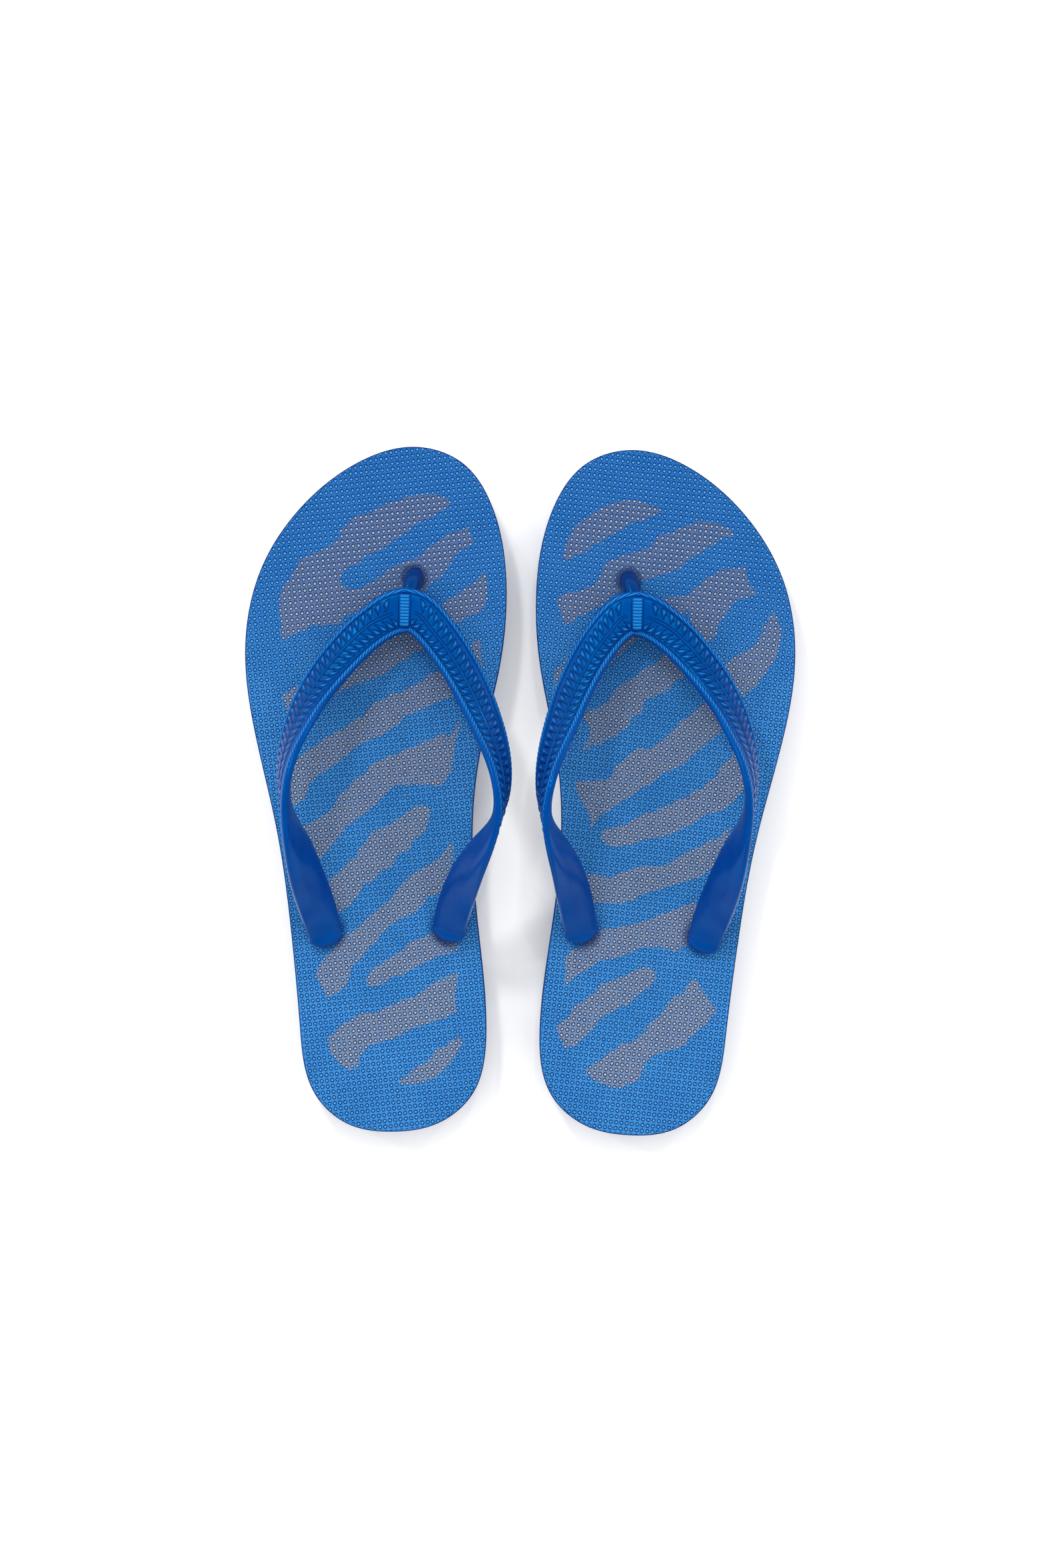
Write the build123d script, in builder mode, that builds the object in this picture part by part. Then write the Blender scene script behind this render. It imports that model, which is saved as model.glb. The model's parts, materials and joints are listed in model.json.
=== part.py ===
"""A pair of thong sandals (flip-flops), left and right, standing side by side.

Each shoe is a die-cut sole laminated from three sheets (outsole, midsole and
studded footbed) and one moulded Y-shaped strap. The strap's three stems pass
through holes in the sole, and its plug heads sit in recesses underneath.
The sole's sheets are made in two halves that meet at the flex line under the
ball of the foot, where the sole bends.

Millimetres. +Z up, +Y towards the toes, +X towards the right shoe. The origin
is the middle of the pair's footprint, at floor level.
"""

from build123d import *
from math import cos, radians, sin
import os

# ---------------------------------------------------------------- the sole
OUTSOLE_THICKNESS = 4.0
MIDSOLE_THICKNESS = 8.0
FOOTBED_THICKNESS = 4.0
FOOTBED_TOP = OUTSOLE_THICKNESS + MIDSOLE_THICKNESS + FOOTBED_THICKNESS

# Where the sole bends, forward of the back of the heel.
FLEX_LINE = 189.0
FLEX_GAP = 0.3

# The left sole's edge, seen from above, anticlockwise from the toe.
# x is towards the big-toe side, y forward from the back of the heel.
SOLE_EDGE = [
    (9.0, 270.0),
    (-14.2, 263.6),
    (-36.0, 246.4),
    (-51.5, 222.9),
    (-58.2, 190.0),
    (-54.3, 157.0),
    (-45.5, 117.5),
    (-40.0, 78.0),
    (-36.6, 41.0),
    (-30.9, 15.2),
    (-17.0, 2.7),
    (0.0, 0.0),
    (16.4, 2.7),
    (31.6, 15.0),
    (36.9, 40.0),
    (34.3, 75.0),
    (31.4, 117.0),
    (34.6, 150.0),
    (42.1, 183.0),
    (44.9, 212.0),
    (39.3, 246.4),
    (28.1, 263.2),
]

# ------------------------------------------------- the strap's three anchors
TOE_ANCHOR = (8.7, 219.3)
OUTER_ANCHOR = (-25.6, 79.0)
INNER_ANCHOR = (21.6, 80.0)
ANCHORS = [TOE_ANCHOR, OUTER_ANCHOR, INNER_ANCHOR]

STEM_RADIUS = 3.6
STEM_HOLE_RADIUS = 4.0
HEAD_RADIUS = 10.2
HEAD_RECESS_RADIUS = 10.7
HEAD_HEIGHT = 2.6
HEAD_CLEARANCE = 0.4
HEAD_ROUND = 1.0

# ---------------------------------------------------------- the outsole tread
TREAD_WIDTH_SHARE = 0.82
TREAD_LENGTH_SHARE = 0.94
TREAD_SPAN = 120.0
TREAD_PITCH = 9.0
TREAD_GROOVE_WIDTH = 2.4
TREAD_DEPTH = 1.2
HEAD_LAND_RADIUS = HEAD_RECESS_RADIUS + 3.0

# ------------------------------------------------------------- the strap band
# Stations along the left band, from the outer anchor over the toes to the
# inner one: x, y, height over the footbed, roll, width and thickness.
# Roll 0 lies flat, the patterned face up; 90 stands the band on edge, that
# face away from the foot; beyond 90 it leans outwards.
BAND_STATIONS = [
    (-26.2, 77.0, 3.2, 168.0, 11.2, 4.6),
    (-27.6, 82.5, 7.7, 165.0, 14.2, 4.4),
    (-30.4, 92.0, 16.8, 156.0, 15.6, 4.2),
    (-33.6, 102.5, 25.8, 142.0, 16.2, 4.0),
    (-36.8, 114.0, 32.0, 123.0, 16.4, 4.0),
    (-40.0, 126.0, 34.4, 98.0, 16.5, 4.0),
    (-41.2, 137.0, 34.0, 80.0, 16.5, 4.0),
    (-39.8, 148.0, 31.0, 67.0, 16.5, 4.0),
    (-36.6, 158.5, 26.6, 54.0, 16.5, 4.0),
    (-31.9, 169.3, 21.8, 42.0, 16.4, 4.0),
    (-26.0, 178.9, 17.8, 31.0, 16.3, 4.1),
    (-18.8, 188.1, 14.2, 21.0, 16.2, 4.3),
    (-10.4, 196.8, 11.4, 12.0, 16.2, 4.5),
    (-4.3, 201.5, 9.9, 6.0, 16.6, 4.6),
    (0.2, 204.1, 9.1, 2.0, 17.4, 4.7),
    (4.9, 205.2, 8.8, 0.0, 17.9, 4.8),
    (9.2, 204.4, 9.1, 2.0, 17.4, 4.7),
    (12.6, 202.0, 9.8, 6.0, 16.7, 4.6),
    (17.0, 197.1, 11.2, 11.0, 16.2, 4.5),
    (21.6, 190.8, 13.2, 17.0, 16.1, 4.3),
    (26.8, 182.4, 15.8, 24.0, 16.2, 4.1),
    (32.6, 171.0, 19.8, 32.0, 16.4, 4.0),
    (37.4, 159.2, 24.4, 43.0, 16.5, 4.0),
    (40.9, 148.2, 29.2, 56.0, 16.5, 4.0),
    (42.6, 137.0, 33.2, 70.0, 16.5, 4.0),
    (41.8, 126.4, 34.8, 87.0, 16.5, 4.0),
    (37.2, 115.6, 33.2, 112.0, 16.4, 4.0),
    (31.8, 106.0, 28.2, 132.0, 16.2, 4.0),
    (27.0, 95.8, 20.2, 148.0, 15.6, 4.2),
    (23.6, 86.0, 10.8, 160.0, 14.2, 4.4),
    (21.8, 79.0, 3.8, 164.0, 11.2, 4.6),
]
BAND_EDGE_ROUND = 1.2

# The toe post leans back from its hole to the underside of the yoke.
POST_FOOT = (TOE_ANCHOR[0], TOE_ANCHOR[1], 0.0)
POST_TOP = (6.4, 211.0, 8.0)
POST_RADIUS_X = 3.6
POST_RADIUS_Y = 3.9
ANCHOR_NECK_HEIGHT = 3.4

# ------------------------------------------------------------------- the pair
# Each shoe: which way its big toe lies, its turn about Z, the back of its
# heel, and how far its inner strap arm is bowed in from the left shoe's.
SHOES = {
    "left": {"side": 1, "turn": 0.0, "heel": (-50.28, -134.26), "arm_tuck": 0.0},
    "right": {"side": -1, "turn": -2.2, "heel": (43.01, -135.68), "arm_tuck": 4.6},
}
ARM_TUCK_MIDDLE = 143.0
ARM_TUCK_REACH = 62.0

FRONT = Keep.TOP
REAR = Keep.BOTTOM


def shoe_plane(shoe, height=0.0):
    """The horizontal plane at a height, with its origin at the back of the heel."""
    turn = radians(shoe["turn"])
    heel_x, heel_y = shoe["heel"]
    return Plane(
        origin=(heel_x, heel_y, height),
        x_dir=(cos(turn), sin(turn), 0),
        z_dir=(0, 0, 1),
    )


def on_shoe(shoe, points):
    """Points of the left shoe, mirrored where the shoe is the right one."""
    return [(shoe["side"] * x, y) for x, y in points]


def sole_face(shoe, height):
    """The sole's outline as a flat face at a height."""
    with BuildSketch(shoe_plane(shoe, height)) as face:
        with BuildLine():
            Spline(*on_shoe(shoe, SOLE_EDGE), periodic=True)
        make_face()
    return face.sketch


def anchor_discs(shoe, height, radius, anchors=ANCHORS):
    """Discs about the strap's anchors at a height, for stems, holes and heads."""
    with BuildSketch(shoe_plane(shoe, height)) as discs:
        with Locations(*on_shoe(shoe, anchors)):
            Circle(radius)
    return discs.sketch


def tread_face(shoe):
    """Grooves across the underside, inside a plain rim and clear of the heads."""
    row_count = int(SOLE_EDGE[0][1] / TREAD_PITCH)
    bar_rows = [(0, (row + 0.5) * TREAD_PITCH) for row in range(row_count)]
    middle = SOLE_EDGE[0][1] / 2
    inset_edge = [
        (x * TREAD_WIDTH_SHARE, middle + (y - middle) * TREAD_LENGTH_SHARE)
        for x, y in SOLE_EDGE
    ]
    with BuildSketch(shoe_plane(shoe)) as tread:
        with BuildLine():
            Spline(*on_shoe(shoe, inset_edge), periodic=True)
        make_face()
        with Locations(*bar_rows):
            Rectangle(TREAD_SPAN, TREAD_PITCH - TREAD_GROOVE_WIDTH, mode=Mode.SUBTRACT)
        with Locations((0, FLEX_LINE)):
            Rectangle(TREAD_SPAN, TREAD_PITCH, mode=Mode.SUBTRACT)
        with Locations(*on_shoe(shoe, ANCHORS)):
            Circle(HEAD_LAND_RADIUS, mode=Mode.SUBTRACT)
    return tread.sketch


def flex_plane(shoe, half):
    """The upright plane across the shoe that one half of a sheet ends at."""
    plane = shoe_plane(shoe)
    gap = FLEX_GAP / 2 if half == FRONT else -FLEX_GAP / 2
    forward = plane.y_dir
    return Plane(origin=plane.origin + forward * (FLEX_LINE + gap), z_dir=forward)


def make_footbed(shoe, half):
    """The top sheet, which the foot stands on."""
    bottom = OUTSOLE_THICKNESS + MIDSOLE_THICKNESS
    with BuildPart() as footbed:
        extrude(sole_face(shoe, bottom), amount=FOOTBED_THICKNESS)
        holes = anchor_discs(shoe, bottom, STEM_HOLE_RADIUS)
        extrude(holes, amount=FOOTBED_THICKNESS, mode=Mode.SUBTRACT)
        split(bisect_by=flex_plane(shoe, half), keep=half)
    return footbed.part


def make_midsole(shoe, half):
    """The thick foam sheet in the middle."""
    with BuildPart() as midsole:
        extrude(sole_face(shoe, OUTSOLE_THICKNESS), amount=MIDSOLE_THICKNESS)
        holes = anchor_discs(shoe, OUTSOLE_THICKNESS, STEM_HOLE_RADIUS)
        extrude(holes, amount=MIDSOLE_THICKNESS, mode=Mode.SUBTRACT)
        split(bisect_by=flex_plane(shoe, half), keep=half)
    return midsole.part


def make_outsole(shoe, half):
    """The wearing sheet, with its tread and the recesses for the plug heads."""
    with BuildPart() as outsole:
        extrude(sole_face(shoe, 0.0), amount=OUTSOLE_THICKNESS)
        recesses = anchor_discs(shoe, 0.0, HEAD_RECESS_RADIUS)
        extrude(recesses, amount=OUTSOLE_THICKNESS, mode=Mode.SUBTRACT)
        extrude(tread_face(shoe), amount=TREAD_DEPTH, mode=Mode.SUBTRACT)
        split(bisect_by=flex_plane(shoe, half), keep=half)
    return outsole.part


def tucked(shoe, station):
    """A station's place, with the inner arm drawn in where this shoe's is."""
    x, y, height = station[:3]
    reach = (y - ARM_TUCK_MIDDLE) / ARM_TUCK_REACH
    if x > 0 and abs(reach) < 1:
        x -= shoe["arm_tuck"] * (1 - reach**2) ** 2
    return Vector(shoe["side"] * x, y, height + FOOTBED_TOP)


def band_section_planes(shoe):
    """A plane across the band at each station, X along the band's width."""
    base = shoe_plane(shoe)
    places = [tucked(shoe, station) for station in BAND_STATIONS]
    last = len(places) - 1
    planes = []
    for index, place in enumerate(places):
        ahead = (places[min(index + 1, last)] - places[max(index - 1, 0)]).normalized()
        outward = Vector(-ahead.Y, ahead.X, 0).normalized() * shoe["side"]
        upward = ahead.cross(outward) * shoe["side"]
        roll = radians(BAND_STATIONS[index][3])
        width_way = outward * cos(roll) - upward * sin(roll)
        planes.append(
            Plane(
                origin=base.from_local_coords(place),
                x_dir=base.from_local_coords(width_way) - base.origin,
                z_dir=base.from_local_coords(ahead) - base.origin,
            )
        )
    return planes


def post_section(shoe, place):
    """The toe post's oval section at one of its ends."""
    base = shoe_plane(shoe)
    x, y, height = place
    origin = base.from_local_coords(Vector(shoe["side"] * x, y, height + FOOTBED_TOP))
    with BuildSketch(Plane(origin=origin, x_dir=base.x_dir, z_dir=base.z_dir)) as section:
        Ellipse(POST_RADIUS_X, POST_RADIUS_Y)
    return section.sketch


def band_section(plane, station):
    """The band's section at one station, lying across the band."""
    width, thickness = station[4:]
    with BuildSketch(plane) as section:
        RectangleRounded(width, thickness, BAND_EDGE_ROUND)
    return section.sketch


def make_strap(shoe):
    """The Y-shaped strap in one piece: band, toe post, stems and plug heads."""
    planes = band_section_planes(shoe)
    sections = [band_section(*pair) for pair in zip(planes, BAND_STATIONS)]
    head_top = OUTSOLE_THICKNESS - HEAD_CLEARANCE
    stem_length = FOOTBED_TOP - head_top
    with BuildPart() as strap:
        loft(sections, ruled=True)
        loft([post_section(shoe, POST_FOOT), post_section(shoe, POST_TOP)])
        toe_stem = anchor_discs(shoe, head_top, STEM_RADIUS, [TOE_ANCHOR])
        extrude(toe_stem, amount=stem_length)
        rear_stems = anchor_discs(shoe, head_top, STEM_RADIUS, [OUTER_ANCHOR, INNER_ANCHOR])
        extrude(rear_stems, amount=stem_length + ANCHOR_NECK_HEIGHT)
        heads = anchor_discs(shoe, head_top - HEAD_HEIGHT, HEAD_RADIUS)
        extrude(heads, amount=HEAD_HEIGHT)
        head_rims = strap.edges().filter_by(GeomType.CIRCLE).group_by(Axis.Z)[0]
        fillet(head_rims, HEAD_ROUND)
    return strap.part


def save(part, name):
    """Label a finished piece and write its STEP file."""
    part.label = name
    export_step(part, f"parts/{name}.step")


os.makedirs("parts", exist_ok=True)

for shoe_name, shoe in SHOES.items():
    for half, half_name in ((FRONT, "front"), (REAR, "rear")):
        save(make_footbed(shoe, half), f"{shoe_name}_footbed_{half_name}")
        save(make_midsole(shoe, half), f"{shoe_name}_midsole_{half_name}")
        save(make_outsole(shoe, half), f"{shoe_name}_outsole_{half_name}")
    save(make_strap(shoe), f"{shoe_name}_strap")
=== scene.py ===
import bpy
import json
from math import cos, pi, radians, sin
import numpy as np
from numpy.linalg import norm
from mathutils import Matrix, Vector
from mathutils.geometry import delaunay_2d_cdt


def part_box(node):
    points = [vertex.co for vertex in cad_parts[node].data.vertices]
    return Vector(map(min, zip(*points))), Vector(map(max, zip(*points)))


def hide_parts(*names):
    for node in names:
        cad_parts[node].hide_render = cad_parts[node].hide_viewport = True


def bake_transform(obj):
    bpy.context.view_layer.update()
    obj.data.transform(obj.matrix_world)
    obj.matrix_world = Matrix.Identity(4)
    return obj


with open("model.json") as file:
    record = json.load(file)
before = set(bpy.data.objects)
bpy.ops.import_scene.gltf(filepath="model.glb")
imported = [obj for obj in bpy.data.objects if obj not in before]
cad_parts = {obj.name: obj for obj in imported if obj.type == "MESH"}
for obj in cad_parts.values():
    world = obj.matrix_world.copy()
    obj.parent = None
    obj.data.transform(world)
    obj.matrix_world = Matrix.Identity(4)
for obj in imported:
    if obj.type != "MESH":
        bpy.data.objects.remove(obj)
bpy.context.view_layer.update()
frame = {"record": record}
scene = bpy.context.scene

MM = 0.001

# ---- the soles ----
# The left sole's edge, seen from above, anticlockwise from the toe: x towards
# the big-toe side, y forward from the back of the heel, in millimetres.
SOLE_EDGE = [
    (9.0, 270.0), (-14.2, 263.6), (-36.0, 246.4), (-51.5, 222.9), (-58.2, 190.0),
    (-54.3, 157.0), (-45.5, 117.5), (-40.0, 78.0), (-36.6, 41.0), (-30.9, 15.2),
    (-17.0, 2.7), (0.0, 0.0), (16.4, 2.7), (31.6, 15.0), (36.9, 40.0),
    (34.3, 75.0), (31.4, 117.0), (34.6, 150.0), (42.1, 183.0), (44.9, 212.0),
    (39.3, 246.4), (28.1, 263.2),
]
EDGE_ROUND = 0.45
FLEX_LINE = 189.0

TOE_ANCHOR = (8.7, 219.3)
OUTER_ANCHOR = (-25.6, 79.0)
INNER_ANCHOR = (21.6, 80.0)
ANCHORS = [TOE_ANCHOR, OUTER_ANCHOR, INNER_ANCHOR]

# The strap's band, from the outer anchor over the toes to the inner one:
# x, y, height over the footbed, roll, width and thickness.
BAND_STATIONS = [
    (-26.2, 77, 3, 168, 13, 4.6),
    (-27.6, 82.5, 6.5, 165, 14.2, 4.4),
    (-30.4, 92, 16, 156, 15.6, 4.2),
    (-33.6, 102.5, 25.8, 142, 16.2, 4),
    (-36.8, 114, 32, 123, 16.4, 4),
    (-40, 126, 34.4, 98, 16.5, 4),
    (-41.2, 137, 34, 80, 16.5, 4),
    (-39.8, 148, 31, 67, 16.5, 4),
    (-36.6, 158.5, 26.6, 54, 16.5, 4),
    (-31.9, 169.3, 21.8, 42, 16.4, 4),
    (-26, 178.9, 17.8, 31, 16.3, 4.1),
    (-18.8, 188.1, 14.2, 21, 16.2, 4.3),
    (-10.4, 196.8, 11.4, 12, 16.2, 4.5),
    (-4.3, 201.5, 9.9, 6, 16.6, 4.6),
    (0.2, 204.1, 9.1, 2, 17.4, 4.7),
    (4.9, 205.2, 8.8, 0, 17.9, 4.8),
    (9.2, 204.4, 9.1, 2, 17.4, 4.7),
    (12.6, 202, 9.8, 6, 16.7, 4.6),
    (17, 197.1, 11.2, 11, 16.2, 4.5),
    (21.6, 190.8, 13.2, 17, 16.1, 4.3),
    (26.8, 182.4, 15.8, 24, 16.2, 4.1),
    (32.6, 171, 19.8, 32, 16.4, 4),
    (37.4, 159.2, 24.4, 43, 16.5, 4),
    (40.9, 148.2, 29.2, 56, 16.5, 4),
    (42.6, 137, 33.2, 70, 16.5, 4),
    (41.8, 126.4, 34.8, 87, 16.5, 4),
    (37.2, 115.6, 33.2, 112, 16.4, 4),
    (31.8, 106, 28.2, 132, 16.2, 4),
    (27, 95.8, 19.4, 148, 15.6, 4.2),
    (23.6, 86, 9.3, 160, 14.2, 4.4),
    (21.8, 79, 3.3, 164, 13, 4.6),
]
YOKE = (4.9, 205.2)
ARM_TUCK_MIDDLE = 143.0
ARM_TUCK_REACH = 62.0

# Each shoe: which way its big toe lies, how far its inner strap arm is drawn
# in, the lie of its stud rows, and the seed of its print.
SHOES = {
    "left": {"side": 1, "arm_tuck": 0.0, "row_tilt": 6.3, "print_seed": 4},
    "right": {"side": -1, "arm_tuck": 4.6, "row_tilt": 3.9, "print_seed": 11},
}


# ---- small helpers ----
CURVE_STEPS = 60


def ramp(low, high, value):
    """A smooth step: 0 up to low, 1 from high on."""
    t = np.clip((value - low) / (high - low), 0.0, 1.0)
    return t * t * (3 - 2 * t)


def distances_along(points):
    """How far along a line of points each of them lies."""
    return np.concatenate([[0], np.cumsum(norm(np.diff(points, axis=0), axis=1))])


def cubic(t, start, end, start_slope, end_slope):
    """From start to end as t goes from 0 to 1, with these slopes at the ends."""
    return (
        start * (2 * t**3 - 3 * t**2 + 1)
        + start_slope * (t**3 - 2 * t**2 + t)
        + end * (3 * t**2 - 2 * t**3)
        + end_slope * (t**3 - t**2)
    )


def curve_slopes(values, steps):
    """The slopes of the smooth curve through values that lie steps apart: a
    closed curve if there are as many steps as values, else an open one."""
    total = len(values)
    matrix = np.zeros((total, total))
    right = np.zeros(values.shape)
    for i in range(total):
        before, after = steps[i - 1], steps[i % len(steps)]
        matrix[i, i - 1] = after
        matrix[i, i] = 2 * (before + after)
        matrix[i, (i + 1) % total] = before
        right[i] = 3 * (
            after * (values[i] - values[i - 1]) / before
            + before * (values[(i + 1) % total] - values[i]) / after
        )
    if len(steps) < total:
        matrix[[0, -1]] = 0
        matrix[0, :2] = 2, 1
        matrix[-1, -2:] = 1, 2
        right[0] = 3 * (values[1] - values[0]) / steps[0]
        right[-1] = 3 * (values[-1] - values[-2]) / steps[-1]
    return np.linalg.solve(matrix, right)


def closed_curve(points, count):
    """Evenly spread points on the smooth closed curve through some points."""
    knots = np.array(points, float)
    steps = norm(np.roll(knots, -1, 0) - knots, axis=1)
    slopes = curve_slopes(knots, steps)
    t = np.linspace(0, 1, CURVE_STEPS, endpoint=False)[:, None]
    numbers = range(len(knots))
    dense = np.concatenate([
        cubic(t, knots[i], knots[j], slopes[i] * steps[i], slopes[j] * steps[i])
        for i, j in zip(numbers, np.roll(numbers, -1))
    ])
    loop = np.vstack([dense, dense[:1]])
    run = distances_along(loop)
    even = np.linspace(0, run[-1], count, endpoint=False)
    return np.stack([np.interp(even, run, loop[:, k]) for k in (0, 1)], 1)


def open_curve(values, knots, where):
    """A smooth curve of several columns through their values at some knots."""
    steps = np.diff(knots)
    slopes = curve_slopes(values, steps)
    span = np.clip(np.searchsorted(knots, where, side="right") - 1, 0, len(steps) - 1)
    width = steps[span][:, None]
    t = (where - knots[span])[:, None] / width
    return cubic(
        t, values[span], values[span + 1], slopes[span] * width, slopes[span + 1] * width
    )


def curve_ways(values, knots, where, step):
    """The unit direction of such a curve, from its first three columns."""
    ahead = (
        open_curve(values, knots, where + step)[:, :3]
        - open_curve(values, knots, where - step)[:, :3]
    )
    return ahead / norm(ahead, axis=1)[:, None]


def ripple_noise(points, scale, seed, waves=9):
    """Smooth seeded noise over a plane, about -1 to 1, from a sum of waves."""
    draw = np.random.RandomState(seed)
    total = np.zeros(len(points))
    for _ in range(waves):
        heading = draw.uniform(0, 2 * pi)
        stretch = draw.uniform(0.7, 1.5) / scale
        phase = draw.uniform(0, 2 * pi)
        along = points[:, 0] * cos(heading) + points[:, 1] * sin(heading)
        total += np.sin(2 * pi * along * stretch + phase)
    return total / np.sqrt(waves)


def shoe_matrix(name):
    """Where a shoe's own millimetres go in the frame: (origin, x way, y way)."""
    joints = {j["name"]: j for j in frame["record"]["behaviour"]["joints"]}
    joint = joints[f"{name}_sole_flex"]
    x_way = np.array(joint["axis"], float)
    y_way = np.array([-x_way[1], x_way[0], 0.0])
    pivot = np.array(joint["pos_m"], float)
    origin = pivot - y_way * FLEX_LINE * MM
    origin[2] = 0.0
    return origin, x_way * SHOES[name]["side"], y_way


def add_object(name, data):
    made = bpy.data.objects.new(name, data)
    scene.collection.objects.link(made)
    return made


def build_mesh(shoe, layer, points, faces, **attributes):
    """One piece from a shoe's own points, in millimetres, with some values at
    each point for its material; the right shoe's is mirrored."""
    if SHOES[shoe]["side"] < 0:
        faces = [tuple(reversed(face)) for face in faces]
    origin, x_way, y_way = shoe_matrix(shoe)
    place = np.asarray(points, float) * MM
    mesh = bpy.data.meshes.new(f"{shoe}_{layer}")
    spots = origin + place @ np.array([x_way, y_way, (0, 0, 1)])
    mesh.from_pydata(spots.tolist(), [], faces)
    mesh.polygons.foreach_set("use_smooth", [True] * len(mesh.polygons))
    for label, values in attributes.items():
        attribute = mesh.attributes.new(label, "FLOAT", "POINT")
        attribute.data.foreach_set("value", np.asarray(values, np.float32))
    attribute = mesh.attributes.new("place", "FLOAT_VECTOR", "POINT")
    attribute.data.foreach_set("vector", place.astype(np.float32).ravel())
    mesh.validate()
    return add_object(mesh.name, mesh)


def settle_on_shoe(piece, shoe_name, slot, *nodes):
    """The piece keeps its baked place, and stands for these CAD nodes, which are hidden."""
    origin, _, y_way = shoe_matrix(shoe_name)
    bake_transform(piece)
    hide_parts(*nodes)


def sheet_heights(shoe_name, layer):
    """The bottom and top of one sheet of the sole, in millimetres."""
    low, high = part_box(f"{shoe_name}_{layer}_rear")
    return low[2] / MM, high[2] / MM


# ---- flat shapes and holes ----
NEAREST_BATCH = 1000


def in_hole(points, hole):
    """Which points lie in an oval hole, given by its centre and half sizes."""
    centre, half = hole
    return (((points - np.array(centre)) / np.array(half)) ** 2).sum(1) < 1


def snap_to_hole(points, hole):
    """Move points inside a hole out to its edge."""
    centre, half = np.array(hole[0]), np.array(hole[1])
    local = points - centre
    local /= np.sqrt(((local / half) ** 2).sum(1))[:, None]
    return local + centre


def nearest_on_loop(loop, points):
    """Each point's distance to a closed line, the line's stretch that is
    nearest, and how far along that stretch the nearest place is, 0 to 1."""
    way = np.roll(loop, -1, 0) - loop
    square = (way**2).sum(1)
    found = []
    for first in range(0, len(points), NEAREST_BATCH):
        part = points[first : first + NEAREST_BATCH, None]
        share = np.clip(((part - loop) * way).sum(2) / square, 0, 1)
        gap = norm(loop + share[..., None] * way - part, axis=2)
        best = gap.argmin(1)
        rows = np.arange(len(best))
        found.append((gap[rows, best], best, share[rows, best]))
    return [np.concatenate(column) for column in zip(*found)]


def is_inside(points, outline, holes):
    """Which points lie inside a closed outline and outside some holes."""
    crossings = np.zeros(len(points), int)
    for start, end in zip(outline, np.roll(outline, -1, 0)):
        spans = (start[1] > points[:, 1]) != (end[1] > points[:, 1])
        rise = end[1] - start[1]
        if rise != 0:
            x_at = start[0] + (points[:, 1] - start[1]) * (end[0] - start[0]) / rise
            crossings += spans & (points[:, 0] < x_at)
    inside = crossings % 2 == 1
    for hole in holes:
        inside &= ~in_hole(points, hole)
    return inside


def draw_in(points, outline, holes):
    """Move points that lie outside onto the outline's or a hole's edge."""
    _, best, share = nearest_on_loop(outline, points)
    way = np.roll(outline, -1, 0) - outline
    moved = outline[best] + share[:, None] * way[best]
    for hole in holes:
        within = in_hole(points, hole)
        moved[within] = snap_to_hole(points[within], hole)
    return moved


def keep_faces(faces, inside):
    """The faces that reach inside, renumbered, and which points they use."""
    kept = [face for face in faces if any(inside[i] for i in face)]
    used = np.zeros(len(inside), bool)
    for face in kept:
        used[list(face)] = True
    number = np.cumsum(used) - 1
    return [tuple(int(number[i]) for i in face) for face in kept], used


def clip_sheet(points, faces, outline, holes):
    """Keep the faces that reach into an outline, and draw them in to its edge.

    Returns the points, the faces, which old points they are and which moved."""
    inside = is_inside(points, outline, holes)
    faces, used = keep_faces(faces, inside)
    stray = used & ~inside
    points = points.copy()
    points[stray] = draw_in(points[stray], outline, holes)
    return points[used], faces, used, stray[used]


def wall_loops(faces):
    """The rims of a sheet of faces, as closed loops of vertex numbers."""
    seen = {side: True for face in faces for side in zip(face, face[1:] + face[:1])}
    follow = {}
    for i, j in seen:
        if (j, i) not in seen:
            follow.setdefault(i, []).append(j)
    loops = []
    while follow:
        first = next(iter(follow))
        loop = [first]
        while True:
            nexts = follow[loop[-1]]
            step = nexts.pop()
            if not nexts:
                del follow[loop[-1]]
            if step == first:
                break
            loop.append(step)
        loops.append(loop)
    return loops


def sole_rows(row_count, column_count, holes):
    """A grid over the whole sole, its first and last columns on the sole's edge."""
    edge = closed_curve(SOLE_EDGE, 2 * EDGE_POINTS)
    toe, heel = edge[:, 1].argmax(), edge[:, 1].argmin()
    order = np.roll(edge, -toe, 0)
    split = (heel - toe) % len(edge)
    outer, inner = order[: split + 1][::-1], np.vstack([order[split:], order[:1]])
    share = (1 - np.cos(np.linspace(0, pi, row_count + 1))) / 2
    heights = edge[heel, 1] + (edge[toe, 1] - edge[heel, 1]) * share[1:-1]
    left = np.interp(heights, *outer.T[::-1])
    right = np.interp(heights, *inner.T[::-1])
    across = np.linspace(0, 1, column_count + 1)
    grid_x = left[:, None] + (right - left)[:, None] * across
    points = np.stack([grid_x.ravel(), np.repeat(heights, column_count + 1)], 1)
    share_across = np.tile(across, len(heights))
    faces = []
    width = column_count + 1
    for row in range(len(heights) - 1):
        for column in range(column_count):
            first = row * width + column
            faces.append((first, first + 1, first + width + 1, first + width))
    heel_point, toe_point = len(points), len(points) + 1
    points = np.vstack([points, edge[heel], edge[toe]])
    share_across = np.concatenate([share_across, [0.5, 0.5]])
    last = (len(heights) - 1) * width
    for column in range(column_count):
        faces.append((heel_point, column + 1, column))
        faces.append((toe_point, last + column, last + column + 1))
    inside = np.ones(len(points), bool)
    for hole in holes:
        inside &= ~in_hole(points, hole)
    faces, used = keep_faces(faces, inside)
    for hole in holes:
        stray = used & in_hole(points, hole)
        points[stray] = snap_to_hole(points[stray], hole)
    return points[used], faces, share_across[used]


def outward_ways(line):
    """The unit directions that point out of the sheet along a rim."""
    way = np.roll(line, -1, 0) - np.roll(line, 1, 0)
    way /= np.maximum(norm(way, axis=1), 1e-9)[:, None]
    return np.stack([way[:, 1], -way[:, 0]], 1)


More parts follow.
